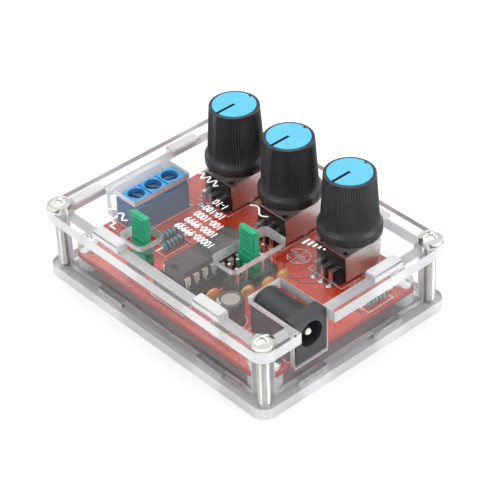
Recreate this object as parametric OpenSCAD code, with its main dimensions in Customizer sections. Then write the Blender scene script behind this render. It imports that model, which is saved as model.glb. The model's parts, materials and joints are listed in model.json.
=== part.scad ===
// Function generator in a clear laser-cut case: circuit board, three control knobs,
// two plug-in jumpers, a screw terminal block and a power jack.
// Frame: origin on the underside of the case at its centre, +Z up, knobs on the -Y side,
// power jack on the -X side, screw terminals on the +X side. Millimetres.

/* [Case] */
// Length of the two plates along X
plate_len = 75; // [74.6:0.2:76]
// Width of the two plates along Y
plate_wid = 57; // [56.6:0.2:58]
// Thickness of every clear sheet
sheet = 2.8; // [2.7:0.05:2.9]
// Height of the walls between the two plates
wall_h = 12.9; // [12.8:0.1:13.2]
// Corner radius of the plates
corner_r = 3.2; // [2.6:0.1:4]
// Distance from a plate's edge to the case screws
screw_inset = 3.1; // [3:0.05:3.3]
// Distance from a plate's edge to the outer face of a wall
ledge = 2.4; // [2.3:0.05:2.5]
// Width of a wall's tab
tab_w = 8.4; // [7.6:0.1:9]
// Height of a tab above the top plate
tab_proud = 0.5; // [0.2:0.1:0.8]
// Room round a tab in its slot
tab_gap = 0.1; // [0.05:0.01:0.15]

/* [Fasteners] */
// Radius of a screw's shank
shank_r = 1.5; // [1.45:0.01:1.52]
// Radius of a screw's head
head_r = 2.75; // [2.5:0.05:2.9]
// Height of a screw's head
head_h = 2.1; // [1.8:0.1:2.4]
// Radius of a clearance hole
clear_r = 1.65; // [1.6:0.01:1.7]
// Radius of a hole that a screw cuts its thread in
tapped_r = 1.42; // [1.4:0.01:1.44]

/* [Circuit board] */
// Length of the board along X
board_len = 64; // [63:0.1:64.2]
// Width of the board along Y
board_wid = 46; // [45:0.1:46.2]
// Thickness of the board
board_t = 1.6; // [1.4:0.1:1.7]
// Corner radius of the board
board_r = 2.8; // [2:0.1:3.2]
// Height of the spacers under the board
spacer_h = 3.2; // [3.1:0.05:3.3]
// Distance from the board's edge to its fixing holes
hole_inset = 2.85; // [2.8:0.01:3]

/* [Controls] */
// X places of the control shafts, from the terminal side to the jack side
knob_x = [19.2, 0.8, -18.8];
// Y place of the control shafts
knob_y = -15.7; // [-15.8:0.05:-15.5]
// Gap between a knob and the top plate
knob_gap = 0.25; // [0.2:0.05:0.6]
// Height of a knob
knob_h = 15.6; // [14.5:0.1:17]
// Radius of a knob's flange
flange_r = 7.5; // [7:0.05:8]
// Radius of a knob's top rim
rim_r = 6.0; // [5.8:0.05:6.3]
// Radius of a control shaft
shaft_r = 2.98; // [2.95:0.01:3]

/* [Connectors] */
// Spacing of the header pins and of the chip's pins
pitch = 2.54;
// Spacing of the screw terminals
pole_pitch = 5.08;
// X place of the terminal screws
pole_x = 26.9; // [26.7:0.05:27]
// Y place of the middle terminal screw
pole_y = 3.7; // [3.5:0.1:3.9]
// Height of the terminal block
block_h = 10; // [9.9:0.05:10.1]
// Y place of the power jack
jack_y = 12.0; // [11.9:0.05:12.1]
// Centre of the waveform pins
wave_at = [13.0, 18.8];
// Centre of the range pins
range_at = [-7.9, 4.9];

/* [Hidden] */
$fn = 48;

// levels
lid_z = sheet + wall_h;
lid_top = lid_z + sheet;
board_z = sheet + spacer_h;
board_top = board_z + board_t;
cut = 0.5;                                   // how far a cutter runs past a face

// walls
wall_out_x = plate_len / 2 - ledge;
wall_out_y = plate_wid / 2 - ledge;
corner_gap_x = 3.6;                          // from a side wall's face to the long walls' ends
corner_gap_y = 3.2;
long_half = wall_out_x - corner_gap_x;
side_half = wall_out_y - corner_gap_y;
long_tabs = [-17, 17];
side_tabs = [-11.5, 11.5];
left_top_tabs = [-11.5];
right_top_tabs = [-11.6, 17.8];

// screws
screw_x = plate_len / 2 - screw_inset;
screw_y = plate_wid / 2 - screw_inset;
hole_x = board_len / 2 - hole_inset;
hole_y = board_wid / 2 - hole_inset;
screw_tip = 0.6;                             // material left under a screw's tip

// windows in the top plate: [x from, x to, y from, y to]
wave_window = [9.2, 17.0, 15.2, 22.4];
range_window = [-11.7, -4.1, -3.35, 13.2];
block_window = [23.3, 31.4, -4.6, 12.1];
jack_window = [-plate_len / 2 - 1, -20.4, 7.2, 17.0];
window_r = 1.4;
shaft_hole_r = 4;

// leads
lead_r = 0.3;
lead_hole_r = 0.45;
square_pin = 0.64;
square_hole_r = 0.5;
tail = 1.2;                                  // length of a lead under the board
solder_h = 0.5;
solder_r = 0.85;

// chip in its socket
chip_x = 0.3;
chip_y = 10.5;
chip_len = 19.3;
chip_wid = 6.4;
chip_top = 15.4;
chip_h = 3.3;
row_half = 1.5 * pitch;
socket_top = 11.8;
socket_foot = 0.4;
pocket = 1.3;

// potentiometers, measured from the shaft
pot_half = 5.0;
pot_front = 6.0;
pot_back = 4.75;
pot_top = 15.0;
pot_pin_z = board_top + 3.4;                 // underside of a terminal where it leaves the body
pot_sheet = 0.4;
pot_pin_pitch = 2.5;
pot_pin_y = 8.6;
lug_w = 1.6;

// terminal block, measured from pole_x and the pole's own Y
block_x0 = 23.5;
block_x1 = 31.1;
cavity_x0 = 23.95;
cavity_x1 = 29.7;
cavity_half = 2.05;
cavity_z0 = 8.1;
cavity_z1 = 14.1;
seat_z = 14.7;                               // ledge that carries a screw's head
cage_x0 = 24.7;
cage_x1 = 29.3;
cage_half = 1.85;
cage_z0 = 8.4;
cage_h = 3.9;
bus_z = 10.65;
bus_t = 0.3;

// power jack
jack_x0 = -wall_out_x;
jack_len = 14.4;
jack_wid = 9;
jack_h = 11;
jack_face = 3.5;
barrel_r = 3.2;
barrel_depth = 9.8;
barrel_z = board_top + 6.5;
jack_pin_r = 1.05;

// headers and jumpers
header_h = 2.5;
header_top = board_top + header_h;
pin_top = header_top + 6;
jumper_z0 = header_top + 0.15;
jumper_body_h = 6.6;
jumper_top = 24;
jumper_len = 5.2;
jumper_wid = 2.5;
grip_t = 1.35;

// small parts on the board
resistors = [                                // [x, y, length along Y]
  [14.2, 8.9, 1], [17.5, 6.9, 1], [-30.0, -11.2, 1], [1.7, -3.6, 0]
];
resistor_r = 1.15;
resistor_len = 6.3;
resistor_span = 10;
can_at = [-15.2, 17.3];
can_r = 3.15;
can_h = 6.4;
discs = [[-8.3, 16.6], [-14.2, 0.9], [-12.9, 10.4], [-13.9, 5.2]];
disc_r = 1.9;
disc_t = 1.3;

// ---------------------------------------------------------------- shared shapes

module rounded_rect(len, wid, r) {
  square([len - 2 * r, wid], center = true);
  square([len, wid - 2 * r], center = true);
  for (x = [-1, 1], y = [-1, 1])
    translate([x * (len / 2 - r), y * (wid / 2 - r)]) circle(r);
}

module window(w, r) {
  translate([(w[0] + w[1]) / 2, (w[2] + w[3]) / 2]) rounded_rect(w[1] - w[0], w[3] - w[2], r);
}

module four_corners(x, y) {
  for (i = [-1, 1], j = [-1, 1]) translate([i * x, j * y]) children();
}

module box(x0, x1, y0, y1, z0, z1) {
  translate([x0, y0, z0]) cube([x1 - x0, y1 - y0, z1 - z0]);
}

module slots_x(places, y) {
  for (x = places) translate([x, y]) square([tab_w + 2 * tab_gap, sheet + 2 * tab_gap], center = true);
}

module slots_y(places, x) {
  for (y = places) translate([x, y]) square([sheet + 2 * tab_gap, tab_w + 2 * tab_gap], center = true);
}

// one pan-head screw, its head's underside at z = 0
module pan_screw(shank) {
  difference() {
    intersection() {
      cylinder(r = head_r, h = head_h);
      translate([0, 0, head_h - 4.2]) sphere(4.2);
    }
    for (a = [0, 90]) rotate(a) box(-1.45, 1.45, -0.3, 0.3, head_h - 1.3, head_h + cut);
  }
  translate([0, 0, -shank]) cylinder(r = shank_r, h = shank);
}

// a round lead through the board with its solder joint underneath
module lead(top) {
  translate([0, 0, board_z - tail]) cylinder(r = lead_r, h = top - board_z + tail, $fn = 16);
  solder(lead_r);
}

module solder(inner) {
  translate([0, 0, board_z - solder_h]) cylinder(r1 = inner, r2 = solder_r, h = solder_h, $fn = 16);
}

module square_lead(top, side = square_pin) {
  translate([-side / 2, -side / 2, board_z - tail]) cube([side, side, top - board_z + tail]);
  solder(side / 2);
}

// places of repeated pins
function chip_pin_places() =
  [for (s = [-1, 1], i = [0:7]) [chip_x + s * row_half, chip_y + (i - 3.5) * pitch]];
function wave_pin_places() = [for (s = [-0.5, 0.5]) [wave_at[0] + s * pitch, wave_at[1]]];
function range_pin_places() =
  [for (s = [-0.5, 0.5], i = [-2:2]) [range_at[0] + s * pitch, range_at[1] + i * pitch]];
function resistor_ends(p) =
  [for (s = [-0.5, 0.5]) [p[0] + (1 - p[2]) * s * resistor_span, p[1] + p[2] * s * resistor_span]];
function pot_pin_places(i) = [for (s = [-1:1]) [knob_x[i] + s * pot_pin_pitch, knob_y + pot_pin_y]];
function pole(i) = pole_y + (1 - i) * pole_pitch;

// ---------------------------------------------------------------- case

module plate_outline() {
  rounded_rect(plate_len, plate_wid, corner_r);
}

module bottom_plate() {
  color([0.90, 0.93, 0.97, 0.5]) linear_extrude(sheet) difference() {
    plate_outline();
    four_corners(screw_x, screw_y) circle(tapped_r);
    four_corners(hole_x, hole_y) circle(tapped_r);
    for (s = [-1, 1]) slots_x(long_tabs, s * (wall_out_y - sheet / 2));
    for (s = [-1, 1]) slots_y(side_tabs, s * (wall_out_x - sheet / 2));
  }
}

module top_plate() {
  color([0.90, 0.93, 0.97, 0.5]) translate([0, 0, lid_z]) linear_extrude(sheet) difference() {
    plate_outline();
    four_corners(screw_x, screw_y) circle(clear_r);
    for (s = [-1, 1]) slots_x(long_tabs, s * (wall_out_y - sheet / 2));
    slots_y(left_top_tabs, -(wall_out_x - sheet / 2));
    slots_y(right_top_tabs, wall_out_x - sheet / 2);
    for (x = knob_x) translate([x, knob_y]) circle(shaft_hole_r);
    window(wave_window, window_r);
    window(range_window, window_r);
    window(block_window, 0.4);
    window(jack_window, 0.4);
  }
}

// a wall standing along X with its outer face at y = 0 and its inside towards +Y
module long_wall(proud) {
  box(-long_half, long_half, 0, sheet, sheet, lid_z);
  for (x = long_tabs) {
    box(x - tab_w / 2, x + tab_w / 2, 0, sheet, 0, sheet);
    box(x - tab_w / 2, x + tab_w / 2, 0, sheet, lid_z, lid_top + proud);
  }
}

// a wall standing along Y with its outer face at x = 0 and its inside towards +X
module side_wall(top_tabs) {
  box(0, sheet, -side_half, side_half, sheet, lid_z);
  for (y = side_tabs) box(0, sheet, y - tab_w / 2, y + tab_w / 2, 0, sheet);
  for (y = top_tabs) box(0, sheet, y - tab_w / 2, y + tab_w / 2, lid_z, lid_top + tab_proud);
}

// its upper tabs end flush, because the knobs' flanges pass over them
module front_wall() {
  color([0.88, 0.92, 0.98, 0.5]) translate([0, -wall_out_y, 0]) long_wall(0);
}

module rear_wall() {
  color([0.88, 0.92, 0.98, 0.5]) translate([0, wall_out_y - sheet, 0]) long_wall(tab_proud);
}

module left_wall() {
  color([0.88, 0.92, 0.98, 0.5]) difference() {
    translate([-wall_out_x, 0, 0]) side_wall(left_top_tabs);
    box(-wall_out_x - cut, -wall_out_x + sheet + cut, jack_y - 4.8, jack_y + 4.8,
        board_top - 0.8, lid_z + cut);
  }
}

module right_wall() {
  color([0.88, 0.92, 0.98, 0.5]) difference() {
    translate([wall_out_x - sheet, 0, 0]) side_wall(right_top_tabs);
    box(wall_out_x - sheet - cut, wall_out_x + cut, block_window[2], block_window[3],
        board_top + 0.6, lid_z - 1.4);
  }
}

module case_screws() {
  color([0.78, 0.80, 0.80])
    four_corners(screw_x, screw_y) translate([0, 0, lid_top]) pan_screw(lid_top - screw_tip);
}

module board_screws() {
  color([0.78, 0.80, 0.80])
    four_corners(hole_x, hole_y) translate([0, 0, board_top]) pan_screw(board_top - screw_tip);
}

module board_spacers() {
  color([0.94, 0.94, 0.92]) four_corners(hole_x, hole_y) translate([0, 0, sheet]) difference() {
    cylinder(r = head_r, h = spacer_h);
    translate([0, 0, -cut]) cylinder(r = clear_r, h = spacer_h + 2 * cut);
  }
}

// ---------------------------------------------------------------- circuit board

module drill(places, r) {
  for (p = places) translate(p) circle(r, $fn = 16);
}

module board_slot(at, len, wid) {
  translate(at) rounded_rect(len, wid, min(len, wid) / 2 - 0.01);
}

module circuit_board() {
  color([0.78, 0.13, 0.07]) translate([0, 0, board_z]) linear_extrude(board_t) difference() {
    rounded_rect(board_len, board_wid, board_r);
    four_corners(hole_x, hole_y) circle(clear_r);
    drill(chip_pin_places(), lead_hole_r);
    drill(wave_pin_places(), square_hole_r);
    drill(range_pin_places(), square_hole_r);
    for (p = resistors) drill(resistor_ends(p), lead_hole_r);
    drill([for (s = [-1, 1]) can_at + [s * 1.25, 0]], lead_hole_r);
    for (p = discs) drill([for (s = [-1, 1]) p + [0, s * pitch / 2]], lead_hole_r);
    for (i = [0:2]) {
      drill(pot_pin_places(i), square_hole_r);
      for (s = [-1, 1]) board_slot([knob_x[i] + s * (pot_half - pot_sheet / 2), knob_y], 0.9, lug_w + 0.5);
      drill([[cavity_x0 + 0.25, pole(i)]], 0.8);
    }
    board_slot([jack_x0 + jack_len - 0.5, jack_y], 1, 3);
    board_slot([jack_x0 + 7.8, jack_y], 1, 3);
  }
}

// ---------------------------------------------------------------- chip

module chip_socket() {
  color([0.10, 0.10, 0.11]) difference() {
    union() {
      box(chip_x - 5.05, chip_x + 5.05, chip_y - 4 * pitch, chip_y + 4 * pitch,
          board_top + socket_foot, socket_top);
      for (x = [-1, 1], y = [-1, 1])
        translate([chip_x + x * row_half, chip_y + y * 3 * pitch, board_top]) translate([-0.5, -0.3, 0])
          cube([1, 0.6, socket_foot]);
    }
    for (p = chip_pin_places())
      translate([p[0] - pocket / 2, p[1] - pocket / 2, board_top - cut]) cube([pocket, pocket, 6]);
    for (s = [-1, 1])
      box(chip_x - 2.2, chip_x + 2.2, chip_y + s * 4.9 - 3.6, chip_y + s * 4.9 + 3.6,
          board_top, socket_top + cut);
    translate([chip_x, chip_y + 4 * pitch, board_top]) cylinder(r = 1, h = 6);
  }
}

module chip_socket_pins() {
  color([0.80, 0.80, 0.78]) for (p = chip_pin_places()) {
    side = sign(p[0] - chip_x);
    translate([p[0] + side * 0.225 - 0.1, p[1] - 0.5, board_top + 0.6]) cube([0.2, 1, 3]);
    translate([p[0], p[1], 0]) {
      translate([-0.25, -0.2, board_z - tail]) cube([0.5, 0.4, board_t + tail + 0.6]);
      translate([min(0, side * 0.55), -0.5, board_top + 0.4]) cube([0.55, 1, 0.2]);
      solder(0.25);
    }
  }
}

module chip_body() {
  color([0.26, 0.23, 0.22]) difference() {
    box(chip_x - chip_wid / 2, chip_x + chip_wid / 2, chip_y - chip_len / 2, chip_y + chip_len / 2,
        chip_top - chip_h, chip_top);
    translate([chip_x, chip_y + chip_len / 2, chip_top - 0.9]) cylinder(r = 1.2, h = 2);
    translate([chip_x + 1.9, chip_y + chip_len / 2 - 1.9, chip_top - 0.2]) cylinder(r = 0.6, h = 1);
  }
}

module chip_pins() {
  color([0.86, 0.84, 0.78]) for (p = chip_pin_places()) {
    side = sign(p[0] - chip_x);
    inner = chip_x + side * chip_wid / 2;
    outer = p[0] + side * 0.125;
    mid = chip_top - chip_h / 2;
    box(min(inner, outer), max(inner, outer), p[1] - 0.7, p[1] + 0.7, mid - 0.125, mid + 0.125);
    box(p[0] - 0.125, p[0] + 0.125, p[1] - 0.7, p[1] + 0.7, socket_top + 0.1, mid + 0.1);
    box(p[0] - 0.125, p[0] + 0.125, p[1] - 0.25, p[1] + 0.25, socket_top - 2.4, socket_top + 0.2);
  }
}

// ---------------------------------------------------------------- small parts

// places its children along Y, or along X where turn is 0
module on_board(p) {
  translate([p[0], p[1], board_top + resistor_r + 0.2]) rotate(p[2] == 1 ? 0 : 90) children();
}

module resistor_bodies() {
  color([0.45, 0.72, 0.82]) for (p = resistors) on_board(p) rotate([90, 0, 0]) {
    translate([0, 0, -resistor_len / 2]) cylinder(r = resistor_r * 0.86, h = resistor_len);
    for (s = [-1, 1])
      translate([0, 0, s * (resistor_len / 2 - 0.85) - 0.85]) cylinder(r = resistor_r, h = 1.7);
  }
}

module resistor_leads() {
  color([0.82, 0.82, 0.80]) for (p = resistors) {
    on_board(p) for (s = [-1, 1]) {
      translate([0, s * (resistor_len / 2 + resistor_span / 2) / 2, 0]) rotate([90, 0, 0])
        cylinder(r = lead_r, h = (resistor_span - resistor_len) / 2, center = true, $fn = 16);
      translate([0, s * resistor_span / 2, 0]) sphere(lead_r, $fn = 16);
    }
    for (e = resistor_ends(p)) translate(e) lead(board_top + resistor_r + 0.2);
  }
}

module electrolytic_can() {
  color([0.12, 0.13, 0.17]) translate([can_at[0], can_at[1], board_top]) difference() {
    cylinder(r = can_r, h = can_h);
    translate([0, 0, 0.9]) rotate_extrude() translate([can_r + 0.25, 0]) circle(0.5, $fn = 24);
    for (a = [0, 90]) rotate(a) box(-2.2, 2.2, -0.12, 0.12, can_h - 0.15, can_h + cut);
  }
}

module electrolytic_leads() {
  color([0.82, 0.82, 0.80])
    for (s = [-1, 1]) translate([can_at[0] + s * 1.25, can_at[1], 0]) lead(board_top);
}

module ceramic_capacitors() {
  color([0.88, 0.62, 0.16]) for (p = discs)
    translate([p[0], p[1], board_top + disc_r + 0.9]) rotate([0, 90, 0]) intersection() {
      cylinder(r = disc_r, h = disc_t, center = true);
      sphere(disc_r + 0.04);
    }
}

module ceramic_leads() {
  color([0.82, 0.82, 0.80]) for (p = discs, s = [-1, 1])
    translate([p[0], p[1] + s * pitch / 2, 0]) lead(board_top + 1.5);
}

// ---------------------------------------------------------------- power jack

module power_jack_housing() {
  half = jack_wid / 2;
  color([0.07, 0.07, 0.08]) difference() {
    union() {
      box(jack_x0, jack_x0 + jack_face, jack_y - half, jack_y + half, board_top, board_top + jack_h);
      box(jack_x0 + jack_face, jack_x0 + jack_len, jack_y - half + 0.1, jack_y + half - 0.1,
          board_top, barrel_z);
      translate([jack_x0 + jack_face, jack_y, barrel_z]) rotate([0, 90, 0])
        cylinder(r = half - 0.1, h = jack_len - jack_face);
    }
    translate([jack_x0 - cut, jack_y, barrel_z]) rotate([0, 90, 0])
      cylinder(r = barrel_r, h = barrel_depth + cut);
    // pin's seat through the back wall
    translate([jack_x0 + barrel_depth - cut, jack_y, barrel_z]) rotate([0, 90, 0])
      cylinder(r = jack_pin_r, h = jack_len);
    // slot for the spring contact under the barrel
    box(jack_x0 + 3.9, jack_x0 + 10.6, jack_y - 1.4, jack_y + 1.4, barrel_z - barrel_r - 1.3, barrel_z - 2);
    box(jack_x0 + 7.2, jack_x0 + 8.4, jack_y - 1.4, jack_y + 1.4, board_top - cut, barrel_z - barrel_r);
    // recess for the rear contact
    box(jack_x0 + jack_len - 0.8, jack_x0 + jack_len + cut, jack_y - 1.4, jack_y + 1.4,
        board_top - cut, barrel_z + 1.6);
  }
}

module power_jack_pin() {
  color([0.85, 0.85, 0.84]) translate([jack_x0 + 1.4, jack_y, barrel_z]) {
    rotate([0, 90, 0]) cylinder(r = jack_pin_r, h = jack_len - 1.5);
    sphere(jack_pin_r);
  }
}

module power_jack_contacts() {
  back = jack_x0 + jack_len;
  color([0.82, 0.80, 0.74]) {
    difference() {
      box(back - 0.7, back - 0.3, jack_y - 1.2, jack_y + 1.2, board_z - tail, barrel_z + 1.4);
      translate([back - 2, jack_y, barrel_z]) rotate([0, 90, 0]) cylinder(r = jack_pin_r, h = 3);
    }
    box(jack_x0 + 4.2, jack_x0 + 10.3, jack_y - 1.2, jack_y + 1.2,
        barrel_z - barrel_r - 1, barrel_z - barrel_r - 0.7);
    box(jack_x0 + 7.6, jack_x0 + 8.0, jack_y - 1.2, jack_y + 1.2, board_z - tail, barrel_z - barrel_r - 0.9);
  }
}

// ---------------------------------------------------------------- screw terminal block

module terminal_block_housing() {
  y0 = pole_y - 1.5 * pole_pitch - 0.2;
  y1 = pole_y + 1.5 * pole_pitch + 0.2;
  top = board_top + block_h;
  color([0.18, 0.45, 0.72]) difference() {
    union() {
      box(block_x0, block_x1, y0, y1, board_top, top - 3.2);
      box(block_x0 + 0.5, block_x1 - 1.7, y0, y1, top - 3.3, top);
      box(block_x0, block_x0 + 0.6, y0, y1, top - 1.2, top - 0.4);
    }
    for (i = [0:2]) translate([0, pole(i), 0]) {
      box(cavity_x0, cavity_x1, -cavity_half, cavity_half, cavity_z0, cavity_z1);
      box(cavity_x1 - cut, block_x1 + cut, -1.9, 1.9, cavity_z0 + 0.3, 12.4);
      translate([pole_x, 0, cavity_z1 - cut]) cylinder(r = 1.45, h = 2);
      translate([pole_x, 0, seat_z]) cylinder(r = 2.05, h = 6);
      box(cavity_x0 + 0.01, cavity_x0 + 0.51, -0.65, 0.65, board_top - cut, cavity_z0 + cut);
    }
    for (i = [0, 1])
      box(block_x0 - cut, block_x1 + cut, pole(i) - pole_pitch / 2 - 0.15, pole(i) - pole_pitch / 2 + 0.15,
          top - 0.6, top + cut);
  }
}

module terminal_block_pins() {
  color([0.80, 0.80, 0.76]) for (i = [0:2]) translate([0, pole(i), 0]) {
    box(cavity_x0 + 0.08, cage_x1 + 0.1, -1.1, 1.1, bus_z, bus_z + bus_t);
    box(cavity_x0 + 0.08, cavity_x0 + 0.43, -0.6, 0.6, board_z - tail, bus_z + 0.1);
    translate([cavity_x0 + 0.25, 0, 0]) solder(0.5);
  }
}

module terminal_screw(i) {
  color([0.84, 0.84, 0.82]) translate([pole_x, pole(i), seat_z + 0.05]) difference() {
    union() {
      cylinder(r = 1.9, h = 1.8);
      translate([0, 0, -3.5]) cylinder(r = 1.25, h = 4);
    }
    rotate(20 + 25 * i) box(-2.5, 2.5, -0.28, 0.28, 0.9, 3);
  }
}

module terminal_cage(i) {
  color([0.78, 0.76, 0.70]) translate([0, pole(i), cage_z0]) difference() {
    box(cage_x0, cage_x1, -cage_half, cage_half, 0, cage_h);
    box(cage_x0 - cut, cage_x1 + cut, -cage_half + 0.35, cage_half - 0.35, 0.4, cage_h - 1);
    translate([pole_x, 0, 1]) cylinder(r = 1.31, h = cage_h);
  }
}

module terminal_screw_1() { terminal_screw(0); }
module terminal_screw_2() { terminal_screw(1); }
module terminal_screw_3() { terminal_screw(2); }
module terminal_cage_1() { terminal_cage(0); }
module terminal_cage_2() { terminal_cage(1); }
module terminal_cage_3() { terminal_cage(2); }

// ---------------------------------------------------------------- headers and jumpers

// moulded strip round a list of pins, one eight-sided cell for each pin
module header_base(places) {
  for (p = places) translate([p[0], p[1], board_top]) difference() {
    linear_extrude(header_h) intersection() {
      square(pitch, center = true);
      rotate(45) square(pitch * 1.24, center = true);
    }
    translate([-square_pin / 2 - 0.02, -square_pin / 2 - 0.02, -cut])
      cube([square_pin + 0.04, square_pin + 0.04, header_h + 2 * cut]);
  }
}

module header_pins(places) {
  for (p = places) translate([p[0], p[1], 0]) square_lead(pin_top);
}

module waveform_header_base() { color([0.08, 0.08, 0.09]) header_base(wave_pin_places()); }
module waveform_header_pins() { color([0.85, 0.80, 0.62]) header_pins(wave_pin_places()); }
module range_header_base() { color([0.08, 0.08, 0.09]) header_base(range_pin_places()); }
module range_header_pins() { color([0.85, 0.80, 0.62]) header_pins(range_pin_places()); }

// jumper with a tall ribbed grip, its two pin sockets side by side along X
module jumper_cap(at) {
  body_top = jumper_z0 + jumper_body_h;
  translate([at[0], at[1], 0]) {
    difference() {
      box(-jumper_len / 2, jumper_len / 2, -jumper_wid / 2, jumper_wid / 2, jumper_z0, body_top);
      box(-jumper_len / 2 + 0.45, jumper_len / 2 - 0.45, -0.85, 0.85, jumper_z0 - cut, body_top - 0.3);
    }
    box(-jumper_len / 2, jumper_len / 2, -grip_t / 2, grip_t / 2, body_top, jumper_top);
    for (k = [0:5])
      box(-jumper_len / 2 + 0.4, jumper_len / 2 - 0.4, -grip_t / 2 - 0.25, grip_t / 2 + 0.25,
          body_top + 0.9 + k * 1.1, body_top + 1.45 + k * 1.1);
  }
}

// folded spring strip that bridges the two pins
module jumper_clip(at) {
  top = jumper_z0 + jumper_body_h - 0.3;
  clip_half = jumper_len / 2 - 0.45;
  translate([at[0], at[1], 0]) {
    box(-clip_half, clip_half, -0.6, 0.6, top - 0.2, top);
    for (s = [-1, 1]) box(-clip_half, clip_half, s * 0.5 - 0.1, s * 0.5 + 0.1, jumper_z0 + 0.3, top - 0.1);
  }
}

module waveform_jumper_cap() { color([0.12, 0.66, 0.50]) jumper_cap(wave_at); }
module waveform_jumper_clip() { color([0.85, 0.80, 0.62]) jumper_clip(wave_at); }
module range_jumper_cap() { color([0.12, 0.66, 0.50]) jumper_cap(range_at); }
module range_jumper_clip() { color([0.85, 0.80, 0.62]) jumper_clip(range_at); }

// ---------------------------------------------------------------- controls

module pot_body(i) {
  rotor_z = board_top + 1.3;
  color([0.09, 0.09, 0.10]) translate([knob_x[i], knob_y, 0]) difference() {
    union() {
      box(-pot_half + pot_sheet, pot_half - pot_sheet, -pot_back + 0.3, pot_front - 0.1,
          board_top + 0.1, pot_top - pot_sheet);
      box(-4.2, 4.2, pot_front - 0.2, pot_pin_y - 1.2, board_top, board_top + 2.6);
    }
    translate([0, 0, rotor_z]) cylinder(r = 3.6, h = 10);
    for (s = [-1:1])
      box(s * pot_pin_pitch - 0.55, s * pot_pin_pitch + 0.55, pot_front - 1.6, pot_pin_y,
          pot_pin_z - 0.1, pot_pin_z + 0.4);
  }
}

module pot_cover(i) {
  color([0.76, 0.75, 0.72]) translate([knob_x[i], knob_y, 0]) difference() {
    union() {
      box(-pot_half, pot_half, -pot_back, pot_front, pot_top - pot_sheet, pot_top);
      for (s = [-1, 1]) {
        x = s * (pot_half - pot_sheet / 2);
        box(x - pot_sheet / 2, x + pot_sheet / 2, -pot_back, pot_front,
            board_top + 0.6, pot_top - pot_sheet / 2);
        box(x - pot_sheet / 2, x + pot_sheet / 2, -lug_w / 2, lug_w / 2, board_z - tail, board_top + 1);
      }
      translate([0, 0, pot_top - pot_sheet]) cylinder(r = 3.7, h = 1);
    }
    cylinder(r = shaft_r + 0.06, h = 20);
    for (s = [-1, 1]) translate([s * 3.55, pot_front - 1.1, pot_top - 2]) cylinder(r = 0.72, h = 3, $fn = 24);
  }
}

module pot_pins(i) {
  color([0.84, 0.83, 0.80]) for (p = pot_pin_places(i)) translate([p[0], p[1], 0]) {
    box(-0.5, 0.5, pot_front - pot_pin_y - 1.5, 0.1, pot_pin_z, pot_pin_z + 0.3);
    box(-0.5, 0.5, -0.2, 0.1, board_top + 0.8, pot_pin_z + 0.1);
    box(-0.3, 0.3, -0.2, 0.1, board_z - tail, board_top + 1);
    solder(0.3);
  }
}

module pot_shaft(i) {
  rotor_z = board_top + 1.45;
  color([0.88, 0.87, 0.84]) translate([knob_x[i], knob_y, 0]) {
    translate([0, 0, rotor_z]) cylinder(r = 3.4, h = pot_top - pot_sheet - rotor_z - 0.15);
    translate([0, 0, rotor_z]) cylinder(r = shaft_r, h = lid_top + 10.5 - rotor_z);
  }
}

// hollow knob: flange, bevel, tapered skirt, hub on the shaft, and a pointer ridge towards +Y
module knob(i) {
  z0 = lid_top + knob_gap;
  flange_h = 2.2;
  bevel_h = 1.1;
  skirt_r = 6.75;
  cap_seat = knob_h - 1.0;
  color([0.13, 0.13, 0.14]) translate([knob_x[i], knob_y, z0]) {
    rotate_extrude($fn = 96) polygon([
      [shaft_r, 0], [shaft_r, 10.6], [0, 10.6], [0, cap_seat], [5.25, cap_seat], [5.25, knob_h],
      [rim_r, knob_h], [skirt_r, flange_h + bevel_h], [flange_r, flange_h], [flange_r, 0]
    ]);
    rotate(90) translate([0, 0, flange_h]) rotate([0, -3.2, 0]) translate([skirt_r - 0.35, -0.5, 0])
      cube([0.5, 1, knob_h - flange_h - 0.6]);
  }
}

// coloured disc with its indicator slot, pressed into the top of the knob
module knob_cap(i) {
  cap_t = 1.15;
  z0 = lid_top + knob_gap + knob_h - 1.0;
  color([0.30, 0.74, 0.90]) translate([knob_x[i], knob_y, z0]) difference() {
    cylinder(r = 5.2, h = cap_t, $fn = 64);
    box(-0.35, 0.35, 0, 6, cap_t - 0.5, cap_t + cut);
    box(-0.35, 0.35, -6, -4.7, cap_t - 0.5, cap_t + cut);
  }
}

module pot_1_body() { pot_body(0); }
module pot_2_body() { pot_body(1); }
module pot_3_body() { pot_body(2); }
module pot_1_cover() { pot_cover(0); }
module pot_2_cover() { pot_cover(1); }
module pot_3_cover() { pot_cover(2); }
module pot_1_pins() { pot_pins(0); }
module pot_2_pins() { pot_pins(1); }
module pot_3_pins() { pot_pins(2); }
module pot_1_shaft() { pot_shaft(0); }
module pot_2_shaft() { pot_shaft(1); }
module pot_3_shaft() { pot_shaft(2); }
module knob_1() { knob(0); }
module knob_2() { knob(1); }
module knob_3() { knob(2); }
module knob_1_cap() { knob_cap(0); }
module knob_2_cap() { knob_cap(1); }
module knob_3_cap() { knob_cap(2); }

bottom_plate();
top_plate();
front_wall();
rear_wall();
left_wall();
right_wall();
case_screws();
board_screws();
board_spacers();
circuit_board();
chip_socket();
chip_socket_pins();
chip_body();
chip_pins();
resistor_bodies();
resistor_leads();
electrolytic_can();
electrolytic_leads();
ceramic_capacitors();
ceramic_leads();
power_jack_housing();
power_jack_pin();
power_jack_contacts();
terminal_block_housing();
terminal_block_pins();
terminal_screw_1();
terminal_screw_2();
terminal_screw_3();
terminal_cage_1();
terminal_cage_2();
terminal_cage_3();
waveform_header_base();
waveform_header_pins();
waveform_jumper_cap();
waveform_jumper_clip();
range_header_base();
range_header_pins();
range_jumper_cap();
range_jumper_clip();
pot_1_body();
pot_2_body();
pot_3_body();
pot_1_cover();
pot_2_cover();
pot_3_cover();
pot_1_pins();
pot_2_pins();
pot_3_pins();
pot_1_shaft();
pot_2_shaft();
pot_3_shaft();
knob_1();
knob_2();
knob_3();
knob_1_cap();
knob_2_cap();
knob_3_cap();
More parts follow.
